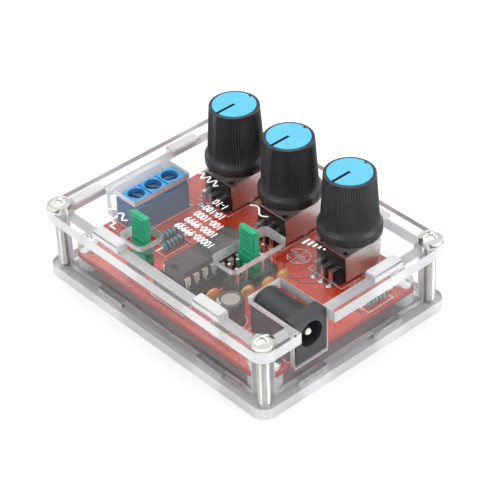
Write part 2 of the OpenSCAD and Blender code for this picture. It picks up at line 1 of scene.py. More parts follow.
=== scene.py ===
"""Function generator in a clear laser-cut case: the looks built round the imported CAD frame.

Shapes are written in millimetres in the frame's own axes: +Z up, knobs on the -Y side,
power jack on the -X side, screw terminals on the +X side. MM turns them into metres.
"""
import json
import math

import bmesh
import bpy
from mathutils import Matrix, Vector, noise

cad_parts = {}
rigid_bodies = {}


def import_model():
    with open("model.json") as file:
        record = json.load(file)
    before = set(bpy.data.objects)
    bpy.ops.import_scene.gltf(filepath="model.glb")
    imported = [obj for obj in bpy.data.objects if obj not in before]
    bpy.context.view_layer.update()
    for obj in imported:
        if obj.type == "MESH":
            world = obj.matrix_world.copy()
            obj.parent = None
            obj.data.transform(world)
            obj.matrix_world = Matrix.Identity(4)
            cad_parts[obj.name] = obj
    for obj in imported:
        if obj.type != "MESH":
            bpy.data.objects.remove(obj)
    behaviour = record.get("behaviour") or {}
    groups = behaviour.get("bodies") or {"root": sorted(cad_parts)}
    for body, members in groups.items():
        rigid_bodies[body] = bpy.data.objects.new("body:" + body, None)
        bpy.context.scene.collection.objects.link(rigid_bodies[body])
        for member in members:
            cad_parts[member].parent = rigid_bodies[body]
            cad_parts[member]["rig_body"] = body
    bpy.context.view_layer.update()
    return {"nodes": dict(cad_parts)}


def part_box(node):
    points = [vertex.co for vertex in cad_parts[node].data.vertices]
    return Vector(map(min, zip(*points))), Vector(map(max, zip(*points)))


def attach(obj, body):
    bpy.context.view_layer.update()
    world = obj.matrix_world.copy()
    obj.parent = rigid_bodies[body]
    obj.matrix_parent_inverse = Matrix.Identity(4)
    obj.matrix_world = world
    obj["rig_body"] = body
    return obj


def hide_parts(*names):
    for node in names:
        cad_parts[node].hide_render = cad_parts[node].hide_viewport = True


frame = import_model()

MM = 0.001
TAU = 2 * math.pi
CASE = "case"


# ---------------------------------------------------------------- sizes from the frame
def box_mm(node):
    """Lowest and highest corner of a CAD node in millimetres."""
    low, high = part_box(node)
    return low / MM, high / MM


def middle(node):
    low, high = box_mm(node)
    return (low + high) / 2


plate_low, plate_high = box_mm("top_plate")
board_low, board_high = box_mm("circuit_board")
lid_top = plate_high.z
lid_under = plate_low.z
base_top = box_mm("bottom_plate")[1].z
board_top = board_high.z
HEAD_RADIUS = 2.75                           # of the case screws, at the case_screws box edge
FIXING_INSET = 2.85                          # of the board screws, from the board edge
screw_x = box_mm("case_screws")[1].x - HEAD_RADIUS
screw_y = box_mm("case_screws")[1].y - HEAD_RADIUS
fixing_x = board_high.x - FIXING_INSET
fixing_y = board_high.y - FIXING_INSET
CORNERS = [(-1, -1), (1, -1), (1, 1), (-1, 1)]
KNOBS = (1, 2, 3)


# ---------------------------------------------------------------- mesh helpers
def new_piece(name, bm, materials, body=CASE, smooth=40):
    """Makes an object from a bmesh drawn in millimetres and lets it ride on a body."""
    bmesh.ops.recalc_face_normals(bm, faces=bm.faces)
    bmesh.ops.scale(bm, vec=(MM, MM, MM), verts=bm.verts)
    mesh = bpy.data.meshes.new(name)
    bm.to_mesh(mesh)
    bm.free()
    for material in materials:
        mesh.materials.append(material)
    mesh.shade_smooth()
    mesh.set_sharp_from_angle(angle=math.radians(smooth))
    obj = bpy.data.objects.new(name, mesh)
    bpy.context.scene.collection.objects.link(obj)
    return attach(obj, body)


def lathe(bm, profile, at=(0, 0), steps=48, shape=None, matrix=None, paint=None):
    """Turns (radius, height) points round an upright axis; a radius of 0 closes the end.

    shape(radius, height, angle) may change a ring's radius, and paint(height) gives a
    face's material number.
    """
    rings = []
    for radius, height in profile:
        if radius == 0:
            rings.append([bm.verts.new((at[0], at[1], height))])
            continue
        ring = []
        for k in range(steps):
            angle = TAU * k / steps
            reach = shape(radius, height, angle) if shape else radius
            place = (at[0] + reach * math.cos(angle), at[1] + reach * math.sin(angle), height)
            ring.append(bm.verts.new(place))
        rings.append(ring)
    for n, (lower, upper) in enumerate(zip(rings, rings[1:])):
        number = paint((profile[n][1] + profile[n + 1][1]) / 2) if paint else 0
        for k in range(steps):
            j = (k + 1) % steps
            if len(lower) == 1 and len(upper) == 1:
                continue
            if len(lower) == 1:
                corners = (lower[0], upper[j], upper[k])
            elif len(upper) == 1:
                corners = (lower[k], lower[j], upper[0])
            else:
                corners = (lower[k], lower[j], upper[j], upper[k])
            bm.faces.new(corners).material_index = number
    if matrix:
        verts = [v for ring in rings for v in ring]
        bmesh.ops.transform(bm, matrix=matrix, verts=verts)


def ribbon(bm, points, width, z, thick=0.03, closed=False):
    """Draws a flat strip with mitred corners along 2-D points, its underside at z."""
    pts = [Vector(p) for p in points]
    count = len(pts)
    rows = []
    for i, p in enumerate(pts):
        before = pts[i - 1] if i or closed else None
        after = pts[(i + 1) % count] if i < count - 1 or closed else None
        arrive = (p - before).normalized() if before is not None else None
        leave = (after - p).normalized() if after is not None else None
        arrive = arrive if arrive is not None else leave
        leave = leave if leave is not None else arrive
        along = (arrive + leave).normalized()
        across = Vector((-along.y, along.x))
        reach = width / 2 / max(0.4, across.dot(Vector((-leave.y, leave.x))))
        left, right = p + across * reach, p - across * reach
        rows.append([bm.verts.new((q.x, q.y, h)) for q, h in
                     ((left, z), (right, z), (right, z + thick), (left, z + thick))])
    pairs = list(zip(rows, rows[1:])) + ([(rows[-1], rows[0])] if closed else [])
    for a, b in pairs:
        for k in range(4):
            j = (k + 1) % 4
            bm.faces.new((a[k], a[j], b[j], b[k]))
    if not closed:
        for end in (rows[0], rows[-1]):
            bm.faces.new(end)


def ring_points(x, y, radius, steps):
    return [(x + radius * math.cos(TAU * k / steps),
             y + radius * math.sin(TAU * k / steps)) for k in range(steps)]


def outline(x0, x1, y0, y1):
    return [(x0, y0), (x1, y0), (x1, y1), (x0, y1)]


def refined(node, bevel, materials, body=None, paint=None, segments=2, smooth=35):
    """A cleaned copy of a CAD node with rounded edges, which stands for it.

    paint(centre, normal), in millimetres, gives a face's material number.
    """
    source = frame["nodes"][node]
    bm = bmesh.new()
    bm.from_mesh(source.data)
    bmesh.ops.scale(bm, vec=(1 / MM,) * 3, verts=bm.verts)
    bmesh.ops.remove_doubles(bm, verts=bm.verts, dist=0.002)
    bmesh.ops.dissolve_limit(bm, angle_limit=math.radians(1), verts=bm.verts, edges=bm.edges)
    for face in bm.faces:
        face.material_index = 0
        if paint:
            face.material_index = paint(face.calc_center_median(), face.normal)
    body = body or source["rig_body"]
    piece = new_piece(node + "_finished", bm, materials, body, smooth)
    if bevel:
        rounding = piece.modifiers.new("rounded edges", "BEVEL")
        rounding.width = bevel * MM
        rounding.segments = segments
        rounding.limit_method = "ANGLE"
        rounding.angle_limit = math.radians(40)
        rounding.harden_normals = True
        rounding.use_clamp_overlap = True
    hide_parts(node)
    return piece


# ---------------------------------------------------------------- materials
class Surface:
    """A Principled material with helpers for procedural detail in millimetre sizes."""

    def __init__(self, name, **values):
        self.material = bpy.data.materials.new(name)
        self.material.use_nodes = True
        self.tree = self.material.node_tree
        self.shader = self.tree.nodes["Principled BSDF"]
        for key, value in values.items():
            self.shader.inputs[key.replace("_", " ")].default_value = value
        self.place = self.tree.nodes.new("ShaderNodeTexCoord").outputs["Object"]
        self.bump_normal = None

    def stretch(self, scale):
        """Coordinates scaled by a factor along each axis."""
        node = self.tree.nodes.new("ShaderNodeMapping")
        node.inputs["Scale"].default_value = scale
        self.tree.links.new(self.place, node.inputs["Vector"])
        return node.outputs["Vector"]

    def noise(self, size, detail=4.0, stretch=None):
        """Noise whose features are about size millimetres across."""
        node = self.tree.nodes.new("ShaderNodeTexNoise")
        node.inputs["Scale"].default_value = 1 / (size * MM)
        node.inputs["Detail"].default_value = detail
        source = self.stretch(stretch) if stretch else self.place
        self.tree.links.new(source, node.inputs["Vector"])
        return node.outputs["Fac"]

    def cells(self, size, feature="DISTANCE_TO_EDGE"):
        node = self.tree.nodes.new("ShaderNodeTexVoronoi")
        node.feature = feature
        node.inputs["Scale"].default_value = 1 / (size * MM)
        self.tree.links.new(self.place, node.inputs["Vector"])
        return node.outputs["Distance"]

    def ramp(self, factor, stops):
        node = self.tree.nodes.new("ShaderNodeValToRGB")
        elements = node.color_ramp.elements
        while len(elements) < len(stops):
            elements.new(0.5)
        for element, (place, colour) in zip(elements, stops):
            element.position = place
            element.color = colour
        self.tree.links.new(factor, node.inputs["Fac"])
        return node.outputs["Color"]

    def spread(self, factor, low, high):
        node = self.tree.nodes.new("ShaderNodeMapRange")
        node.inputs["From Min"].default_value = 0.3
        node.inputs["From Max"].default_value = 0.7
        node.inputs["To Min"].default_value = low
        node.inputs["To Max"].default_value = high
        self.tree.links.new(factor, node.inputs["Value"])
        return node.outputs["Result"]

    def link(self, output, socket):
        self.tree.links.new(output, self.shader.inputs[socket])
        return self

    def bump(self, height, distance, strength=1.0):
        """Adds a bump of a height in millimetres; bumps stack."""
        node = self.tree.nodes.new("ShaderNodeBump")
        node.inputs["Strength"].default_value = strength
        node.inputs["Distance"].default_value = distance * MM
        self.tree.links.new(height, node.inputs["Height"])
        if self.bump_normal:
            self.tree.links.new(self.bump_normal, node.inputs["Normal"])
        self.bump_normal = node.outputs["Normal"]
        return self.link(self.bump_normal, "Normal")


def shade(colour, factor):
    """A colour made lighter or darker, with full opacity."""
    return tuple(min(1.0, c * factor) for c in colour[:3]) + (1.0,)


def moulded(name, colour, roughness=0.4, mottle=0.12, grain=0.25, depth=0.006, **values):
    """Moulded plastic: slightly uneven colour and gloss with a fine surface grain."""
    s = Surface(name, **values)
    large = s.noise(2.5, 5)
    stops = [(0.3, shade(colour, 1 - mottle)), (0.7, shade(colour, 1 + mottle))]
    s.link(s.ramp(large, stops), "Base Color")
    s.link(s.spread(s.noise(0.8, 6), roughness * 0.8, roughness * 1.25), "Roughness")
    s.bump(s.noise(grain, 3), depth)
    return s.material


def metal(name, colour, roughness=0.25, brush=None, depth=0.004, mottle=0.08, plated=1.0):
    """Plated metal with streaks along one axis where brush stretches the noise."""
    s = Surface(name, Metallic=plated)
    stops = [(0.3, shade(colour, 1 - mottle)), (0.7, shade(colour, 1 + mottle))]
    s.link(s.ramp(s.noise(0.9, 6, brush), stops), "Base Color")
    s.link(s.spread(s.noise(0.35, 5, brush), roughness * 0.75, roughness * 1.3), "Roughness")
    s.bump(s.noise(0.18, 4, brush), depth)
    return s.material


def polished_acrylic():
    """The clear faces of the cast sheet, with faint handling haze."""
    s = Surface("acrylic_polished", Transmission_Weight=1.0, IOR=1.45, Specular_IOR_Level=0.25)
    s.shader.inputs["Base Color"].default_value = (0.982, 0.980, 0.992, 1)
    s.link(s.spread(s.noise(9, 5), 0.0, 0.035), "Roughness")
    s.bump(s.noise(16, 2), 0.02)
    return s.material


def cut_acrylic(name, through):
    """A laser-cut edge: bright and hazy, with soft streaks straight through the sheet."""
    s = Surface(name, Transmission_Weight=0.50, IOR=1.45)
    fine = tuple(0.06 if axis == through else 1.0 for axis in "XYZ")
    streak = s.noise(0.42, 5, fine)
    stops = [(0.25, (0.95, 0.945, 0.97, 1)), (0.6, (0.99, 0.99, 1.0, 1))]
    s.link(s.ramp(streak, stops), "Base Color")
    s.link(s.spread(s.noise(1.1, 3, fine), 0.30, 0.36), "Roughness")
    s.bump(streak, 0.0010).bump(s.noise(0.16, 3, fine), 0.0002)
    return s.material


def board_mask():
    """Glossy red solder mask over copper, with faint weave and speckle."""
    s = Surface("board_mask", Coat_Weight=0.55, Coat_Roughness=0.08, IOR=1.5)
    stops = [(0.25, (0.74, 0.040, 0.008, 1)), (0.5, (0.84, 0.058, 0.011, 1)),
             (0.8, (0.90, 0.078, 0.016, 1))]
    s.link(s.ramp(s.noise(6, 6), stops), "Base Color")
    s.link(s.spread(s.noise(0.6, 5), 0.2, 0.38), "Roughness")
    s.bump(s.cells(0.45), 0.006).bump(s.noise(3, 3), 0.02)
    return s.material


def white_ink(name, colour, opacity_grain=0.06):
    s = Surface(name)
    stops = [(0.3, shade(colour, 1 - opacity_grain)), (0.6, shade(colour, 1.0))]
    s.link(s.ramp(s.noise(0.35, 4), stops), "Base Color")
    s.link(s.spread(s.noise(0.5, 3), 0.45, 0.65), "Roughness")
    s.bump(s.noise(0.2, 3), 0.01)
    return s.material


def chip_epoxy():
    """Dark moulded epoxy with a coarse sparkle."""
    s = Surface("chip_epoxy", IOR=1.5)
    stops = [(0.3, (0.050, 0.038, 0.034, 1)), (0.55, (0.085, 0.066, 0.060, 1)),
             (0.8, (0.125, 0.100, 0.092, 1))]
    s.link(s.ramp(s.noise(0.5, 8), stops), "Base Color")
    s.link(s.spread(s.noise(1.4, 5), 0.32, 0.55), "Roughness")
    s.bump(s.noise(0.12, 4), 0.010).bump(s.cells(0.3), 0.004)
    return s.material


MAT = {
    "polished": polished_acrylic(),
    "cut_z": cut_acrylic("acrylic_cut_plate", "Z"),
    "cut_y": cut_acrylic("acrylic_cut_long_wall", "Y"),
    "cut_x": cut_acrylic("acrylic_cut_side_wall", "X"),
    "board": board_mask(),
    "board_edge": moulded("board_edge", (0.50, 0.045, 0.020), 0.55, 0.2, 0.12, 0.02),
    "trace": moulded("board_trace", (0.44, 0.018, 0.005), 0.3, 0.15, 0.4, 0.004,
                     Coat_Weight=0.5),
    "silk": white_ink("board_silkscreen", (0.90, 0.86, 0.82)),
    "legend": white_ink("lid_legend", (0.97, 0.97, 0.95), 0.03),
    "knob": moulded("knob_black", (0.016, 0.015, 0.019), 0.36, 0.25, 0.12, 0.006, IOR=1.5),
    "cap": moulded("cap_blue", (0.085, 0.450, 0.640), 0.45, 0.05, 0.15, 0.006),
    # painted shade: near-black for the floor and walls of the cap's pointer slot, where shade falls
    "slot": moulded("cap_slot_painted_shade", (0.012, 0.012, 0.016), 0.5, 0.2, 0.1, 0.006),
    "screw": metal("screw_steel", (0.72, 0.71, 0.67), 0.17),
    "thread": metal("thread_steel", (0.62, 0.61, 0.59), 0.22),
    "nylon": moulded("spacer_nylon", (0.80, 0.79, 0.75), 0.5, 0.05, 0.3, 0.01,
                     Subsurface_Weight=0.2),
    "socket": moulded("socket_black", (0.020, 0.019, 0.020), 0.45, 0.2),
    "chip": chip_epoxy(),
    "chip_mark": moulded("chip_mark", (0.17, 0.14, 0.115), 0.6, 0.15, 0.15, 0.01),
    "tin": metal("tinned_leads", (0.86, 0.83, 0.76), 0.28),
    "leg": metal("chip_legs", (0.86, 0.82, 0.72), 0.42, plated=0.35),
    "solder": metal("solder", (0.50, 0.50, 0.51), 0.26, depth=0.02),
    "resistor": moulded("resistor_blue", (0.16, 0.42, 0.50), 0.35, 0.12, 0.4, 0.02),
    "band_dark": moulded("band_dark", (0.020, 0.030, 0.035), 0.4, 0.2, 0.3, 0.01),
    "band_brown": moulded("band_brown", (0.13, 0.045, 0.025), 0.4, 0.2, 0.3, 0.01),
    "sleeve": moulded("can_sleeve", (0.038, 0.026, 0.024), 0.28, 0.2, 0.5, 0.008,
                      Coat_Weight=0.4),
    "sleeve_mark": moulded("can_stripe", (0.62, 0.60, 0.57), 0.4, 0.1, 0.3, 0.006),
    "can_top": metal("can_top", (0.50, 0.43, 0.38), 0.42, plated=0.5),
    "amber": moulded("ceramic_amber", (0.80, 0.36, 0.035), 0.25, 0.15, 0.5, 0.02,
                     Coat_Weight=0.5),
    "jack": moulded("jack_black", (0.026, 0.027, 0.032), 0.38, 0.15, 0.18, 0.010, IOR=1.5),
    # painted light: a lighter copy of the terminal blue for the block's top faces, as if lit from
    # above
    "block": moulded("terminal_blue", (0.026, 0.290, 0.600), 0.38, 0.08, 0.25, 0.008),
    # painted shade: a darker copy of the same blue for the block's sides and lower faces
    "block_side_painted_shade": moulded("terminal_blue_painted_shade", (0.040, 0.190, 0.440), 0.45, 0.08, 0.25, 0.008),
    # painted shade: the terminal screws and cages get a dark bluish steel that stands in for the
    # shade deep in the block's holes
    "block_steel_painted_shade": metal("terminal_steel", (0.12, 0.22, 0.32), 0.35),
    "header": moulded("header_black", (0.022, 0.022, 0.024), 0.42, 0.2),
    "gold": metal("contact_gold", (0.90, 0.66, 0.28), 0.24),
    "jumper": moulded("jumper_green", (0.012, 0.330, 0.160), 0.34, 0.10, 0.3, 0.008,
                      Subsurface_Weight=0.08),
    # painted shade: a darker copy of the jumper green for the recessed faces between the grip's ribs
    "jumper_recess_painted_shade": moulded("jumper_recess_painted_shade", (0.004, 0.130, 0.060), 0.5, 0.10, 0.3, 0.008),
    "pot_black": moulded("pot_black", (0.022, 0.020, 0.019), 0.55, 0.25, 0.3, 0.015),
    "pot_steel": metal("pot_steel", (0.72, 0.70, 0.66), 0.34, (1.0, 0.1, 1.0), 0.002, 0.04),
    "alloy": metal("shaft_alloy", (0.70, 0.70, 0.71), 0.3),
}


# ---------------------------------------------------------------- camera, light and floor
VIEW_AZIMUTH, VIEW_ELEVATION, VIEW_ROLL = 229.04, 37.51, -2.28
VIEW_DISTANCE = 462.85
LENS, SENSOR = 145.64, 36.0
AIM = Vector((0, 0, 9))                      # about the middle of the object
AIM_RIGHT, AIM_UP = 1.53, 1.55               # how far beside that point the view is centred


def add_camera():
    a, e, roll = (math.radians(v) for v in (VIEW_AZIMUTH, VIEW_ELEVATION, VIEW_ROLL))
    back = Vector((math.sin(a) * math.cos(e), -math.cos(a) * math.cos(e), math.sin(e)))
    level = Vector((math.cos(a), math.sin(a), 0))
    upright = back.cross(level)
    right = level * math.cos(roll) + upright * math.sin(roll)
    up = upright * math.cos(roll) - level * math.sin(roll)
    place = AIM + right * AIM_RIGHT + up * AIM_UP + back * VIEW_DISTANCE
    data = bpy.data.cameras.new("camera")
    data.sensor_width = SENSOR
    data.lens = LENS
    data.clip_start = 0.01
    camera = bpy.data.objects.new("camera", data)
    axes = Matrix((right, up, back)).transposed().to_4x4()
    camera.matrix_world = Matrix.Translation(place * MM) @ axes
    bpy.context.scene.collection.objects.link(camera)
    bpy.context.scene.camera = camera
    return right, back


def add_lamp(name, place, size, power, colour=(1, 1, 1)):
    data = bpy.data.lights.new(name, "AREA")
    data.shape = "RECTANGLE"
    data.size, data.size_y = size
    data.energy = power
    data.color = colour
    lamp = bpy.data.objects.new(name, data)
    lamp.location = place
    lamp.rotation_euler = (Vector((0, 0, 0.01)) - Vector(place)).to_track_quat("-Z", "Y").to_euler()
    bpy.context.scene.collection.objects.link(lamp)


def add_studio(right, back):
    """A white surround, a broad overhead light and a softer one from each side."""
    world = bpy.data.worlds.new("studio")
    world.use_nodes = True
    nodes, links = world.node_tree.nodes, world.node_tree.links
    direction = nodes.new("ShaderNodeTexCoord").outputs["Generated"]
    height = nodes.new("ShaderNodeSeparateXYZ")
    links.new(direction, height.inputs["Vector"])
    fade = nodes.new("ShaderNodeValToRGB")   # greyer walls under a white ceiling
    first, last = fade.color_ramp.elements
    first.position, first.color = 0.05, (0.74, 0.74, 0.77, 1)
    last.position, last.color = 0.62, (1.0, 1.0, 1.0, 1)
    links.new(height.outputs["Z"], fade.inputs["Fac"])
    links.new(fade.outputs["Color"], nodes["Background"].inputs["Color"])
    nodes["Background"].inputs["Strength"].default_value = 0.98
    bpy.context.scene.world = world
    flat_back = Vector((back.x, back.y, 0)).normalized()
    flat_right = Vector((right.x, right.y, 0)).normalized()
    overhead = Vector((0, 0, 0.75)) - flat_back * 0.25 - flat_right * 0.1
    side = flat_right * 0.62 + flat_back * 0.20 + Vector((0, 0, 0.34))
    near = -flat_right * 0.55 + flat_back * 0.42 + Vector((0, 0, 0.40))
    add_lamp("overhead", overhead, (0.7, 0.5), 2.6)
    add_lamp("side", side, (0.35, 0.45), 2.0, (0.96, 0.97, 1.0))
    add_lamp("near", near, (0.30, 0.30), 0.9, (1.0, 0.99, 0.97))


def add_floor():
    s = Surface("floor_paper")
    stops = [(0.35, (0.93, 0.93, 0.935, 1)), (0.65, (0.95, 0.95, 0.95, 1))]
    s.link(s.ramp(s.noise(40, 4), stops), "Base Color")
    s.link(s.spread(s.noise(3, 4), 0.85, 0.95), "Roughness")
    s.bump(s.noise(1.2, 3), 0.01)
    half, depth = 3.0, -0.00005
    mesh = bpy.data.meshes.new("floor")
    corners = [(-half, -half, depth), (half, -half, depth), (half, half, depth), (-half, half, depth)]
    mesh.from_pydata(corners, [], [(0, 1, 2, 3)])
    mesh.materials.append(s.material)
    floor = bpy.data.objects.new("floor", mesh)
    bpy.context.scene.collection.objects.link(floor)


# ---------------------------------------------------------------- the clear case
HAIRLINE = 0.05      # air left where two clear sheets meet


def clear_sheet(node, normal_axis, cut):
    """A clear sheet whose broad faces are polished and whose cut edges are hazy."""
    axis = "XYZ".index(normal_axis)

    def paint(centre, normal):
        return 0 if abs(normal[axis]) > 0.9 else 1

    piece = refined(node, 0.14, [MAT["polished"], MAT[cut]], paint=paint, segments=2)
    rounding = piece.modifiers["rounded edges"]
    rounding.material = 1
    if normal_axis != "Z":
        for vertex in piece.data.vertices:
            height = vertex.co.z / MM
            if abs(height - lid_under) < 0.01:
                vertex.co.z -= HAIRLINE * MM
            elif abs(height - base_top) < 0.01:
                vertex.co.z += HAIRLINE * MM
    return piece


def build_case():
    for node in ("bottom_plate", "top_plate"):
        clear_sheet(node, "Z", "cut_z")
    for node in ("front_wall", "rear_wall"):
        clear_sheet(node, "Y", "cut_y")
    for node in ("left_wall", "right_wall"):
        clear_sheet(node, "X", "cut_x")


# ---------------------------------------------------------------- screws
THREAD_PITCH = 0.5
THREAD_DEPTH = 0.27
SHANK = 1.5


def thread(bm, x, y, low, high, steps=28, slices=8):
    """A screw thread of the shank's own radius between two heights."""
    count = int((high - low) / THREAD_PITCH * slices)
    rings = []
    for i in range(count + 1):
        height = low + (high - low) * i / count
        ring = []
        for k in range(steps):
            turn = k / steps
            phase = (height / THREAD_PITCH - turn) % 1
            crest = 1 - abs(2 * phase - 1)
            fade = min(1, (high - height) / 0.6, 0.35 + (height - low) / 0.8)
            radius = SHANK - THREAD_DEPTH * (1 - min(1, crest * 1.3)) * max(0, fade)
            radius -= 0.35 * max(0, 1 - (height - low) / 0.5)
            ring.append(bm.verts.new((x + radius * math.cos(TAU * turn),
                                      y + radius * math.sin(TAU * turn), height)))
        rings.append(ring)
    for lower, upper in zip(rings, rings[1:]):
        for k in range(steps):
            j = (k + 1) % steps
            bm.faces.new((lower[k], lower[j], upper[j], upper[k])).material_index = 1
    bm.faces.new(list(reversed(rings[0]))).material_index = 1


def build_screws(node, x_place, y_place, head_under):
    """Keeps the CAD heads with their cross recesses and cuts real threads below them."""
    source = frame["nodes"][node]
    low = box_mm(node)[0].z
    bm = bmesh.new()
    bm.from_mesh(source.data)
    bmesh.ops.scale(bm, vec=(1 / MM,) * 3, verts=bm.verts)
    bmesh.ops.remove_doubles(bm, verts=bm.verts, dist=0.002)
    shank = []
    for face in bm.faces:
        face.material_index = 0
        if face.calc_center_median().z < head_under - 0.02:
            shank.append(face)
    bmesh.ops.delete(bm, geom=shank, context="FACES")
    for sx, sy in CORNERS:
        thread(bm, sx * x_place, sy * y_place, low, head_under)
    piece = new_piece(node + "_threaded", bm, [MAT["screw"], MAT["thread"]], CASE, 30)
    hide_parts(node)


# ---------------------------------------------------------------- circuit board
def build_board():
    def paint(centre, normal):
        return 0 if abs(normal.z) > 0.9 else 1

    refined("circuit_board", 0, [MAT["board"], MAT["board_edge"]], paint=paint, smooth=30)


TRACES = [
    [(-30.6, -6.0), (-27.5, -6.0), (-24.8, -8.7), (-24.8, -9.8)],
    [(-18.8, -7.1), (-18.8, -5.2), (-16.4, -2.8), (-10.6, -2.8), (-8.3, -5.1), (-8.3, -7.5)],
    [(-16.3, -7.1), (-16.3, -5.6), (-13.4, -2.0), (-9.9, -1.2), (-6.2, -4.9), (-6.2, -9.2)],
    [(-29.9, 5.6), (-20.0, 5.6), (-18.0, 3.6), (-15.4, 3.6)],
    [(-18.9, 9.2), (-16.8, 11.3), (-16.8, 13.8)],
    [(-11.6, 20.8), (-4.8, 20.8), (-4.8, 19.6)],
    [(-30.4, 18.6), (-24.6, 18.6), (-21.6, 21.6), (12.0, 21.6), (13.4, 20.4)],
    [(-1.7, -7.1), (-1.7, -5.6), (-2.8, -4.5), (-2.8, -3.0)],
    [(0.8, -7.1), (0.8, -5.6), (7.6, 1.2), (7.6, 8.0), (9.2, 9.6), (12.4, 9.6)],
    [(3.3, -7.1), (3.3, -5.9), (9.4, 0.2), (9.4, 3.4), (11.6, 5.6), (16.6, 5.6)],
    [(19.2, -7.1), (19.2, 0.6), (22.8, 4.2)],
    [(21.7, -7.1), (21.7, -5.6), (25.4, -1.9), (27.2, -1.9)],
    [(18.6, 2.0), (12.4, 2.0), (10.4, 0.0), (10.4, -4.0)],
    [(22.8, 10.2), (20.2, 12.8), (20.2, 16.8), (16.0, 21.0)],
    [(29.5, 13.6), (29.5, 16.2)],
    [(-29.8, -15.0), (-25.4, -15.0), (-23.4, -13.0), (-23.4, -10.4)],
]


def build_board_print():
    """Raised copper runs under the mask, white component outlines and solder rings."""
    top = board_top
    bm = bmesh.new()
    for run in TRACES:
        ribbon(bm, run, 0.42, top - 0.01, 0.055)
        pad = run[0]
        lathe(bm, [(0, top), (0.55, top), (0.50, top + 0.05), (0, top + 0.05)], pad, 16)
    new_piece("board_traces", bm, [MAT["trace"]], CASE, 30)

    bm = bmesh.new()
    line = 0.22
    for sx, sy in CORNERS:
        ribbon(bm, ring_points(sx * fixing_x, sy * fixing_y, 2.5, 40), 0.3, top, 0.04, True)
    low, high = box_mm("terminal_block_housing")
    ribbon(bm, outline(low.x - 0.6, high.x + 0.5, low.y - 0.5, high.y + 0.5), line, top, 0.04, True)
    low, high = box_mm("power_jack_housing")
    ribbon(bm, outline(board_low.x + 0.4, high.x + 0.7, low.y - 0.6, high.y + 0.6), line, top,
           0.04, True)
    can = middle("electrolytic_can")
    can_ring, spare_ring = 3.55, 2.7         # radii of the printed capacitor outlines
    ribbon(bm, ring_points(can.x, can.y, can_ring, 44), line, top, 0.04, True)
    spare = (-8.8, -9.2)                     # an unfitted capacitor's place
    ribbon(bm, ring_points(*spare, spare_ring, 44), 0.26, top, 0.04, True)
    ribbon(bm, [(spare[0], spare[1] - 2.5), (spare[0], spare[1] + 2.5)], line, top, 0.04)
    for x in (-1.1, 1.1):
        ribbon(bm, [(spare[0] + x - 0.5, spare[1] + 1.8), (spare[0] + x + 0.5, spare[1] + 1.8)],
               line, top, 0.04)
    low, high = box_mm("chip_socket")
    ribbon(bm, outline(low.x - 0.5, high.x + 0.5, low.y - 0.5, high.y + 0.5), line, top, 0.04, True)
    for k in KNOBS:
        low, high = box_mm(f"pot_{k}_body")
        ribbon(bm, outline(low.x - 0.8, high.x + 0.8, low.y - 0.4, high.y + 0.6), line, top,
               0.04, True)
    for low, high in solid_boxes("resistor_bodies"):
        ribbon(bm, outline(low.x - 0.5, high.x + 0.5, low.y - 0.7, high.y + 0.7), line, top,
               0.04, True)
    for x, y in ((-12.0, 19.8), (-17.8, 1.0), (9.6, 12.8), (20.6, 8.0), (-21.8, -8.0)):
        ribbon(bm, [(x, y - 0.6), (x, y + 0.6)], line, top, 0.04)
        ribbon(bm, [(x - 0.6, y), (x + 0.6, y)], line, top, 0.04)
    new_piece("board_outlines", bm, [MAT["silk"]], CASE, 30)

    bm = bmesh.new()
    for dx in (-1.25, 1.25):
        lathe(bm, [(0.45, top), (0.95, top), (0.92, top + 0.05), (0.45, top + 0.05), (0.45, top)],
              (spare[0] + dx, spare[1]), 24)
    spots = []
    for k in KNOBS:
        low, high = box_mm(f"pot_{k}_pins")
        centre = (low.x + high.x) / 2
        spots += [(centre + step, high.y - 0.45) for step in (-2.5, 0, 2.5)]
    for x, y in spots:
        cone = [(0.98, top), (0.9, top + 0.05), (0.7, top + 0.1), (0.5, top + 0.3),
                (0.35, top + 0.5), (0, top + 0.52)]
        lathe(bm, [(0, top - 0.02)] + cone, (x, y), 24)
    for sx, sy in CORNERS:
        x, y = sx * fixing_x, sy * fixing_y
        lathe(bm, [(1.75, top), (2.25, top), (2.25, top + 0.05), (1.75, top + 0.05), (1.75, top)],
              (x, y), 36)
    new_piece("solder_joints", bm, [MAT["solder"]], CASE, 50)


# ---------------------------------------------------------------- small components
def along(x, y, z, direction):
    """A matrix that lays an upright shape down along X or Y at a place."""
    turn = Matrix.Rotation(math.radians(90), 4, "Y" if direction == "X" else "X")
    return Matrix.Translation((x, y, z)) @ turn


def solid_boxes(node):
    """Lowest and highest corner of each separate solid of a node, in millimetres."""
    bm = bmesh.new()
    bm.from_mesh(frame["nodes"][node].data)
    bmesh.ops.remove_doubles(bm, verts=bm.verts, dist=1e-6)
    seen, boxes = set(), []
    for start in bm.verts:
        if start in seen:
            continue
        stack, points = [start], []
        seen.add(start)
        while stack:
            vertex = stack.pop()
            points.append(vertex.co / MM)
            for edge in vertex.link_edges:
                other = edge.other_vert(vertex)
                if other not in seen:
                    seen.add(other)
                    stack.append(other)
        low = Vector([min(p[i] for p in points) for i in range(3)])
        high = Vector([max(p[i] for p in points) for i in range(3)])
        boxes.append((low, high))
    bm.free()
    return sorted(boxes, key=lambda pair: tuple(pair[0]))


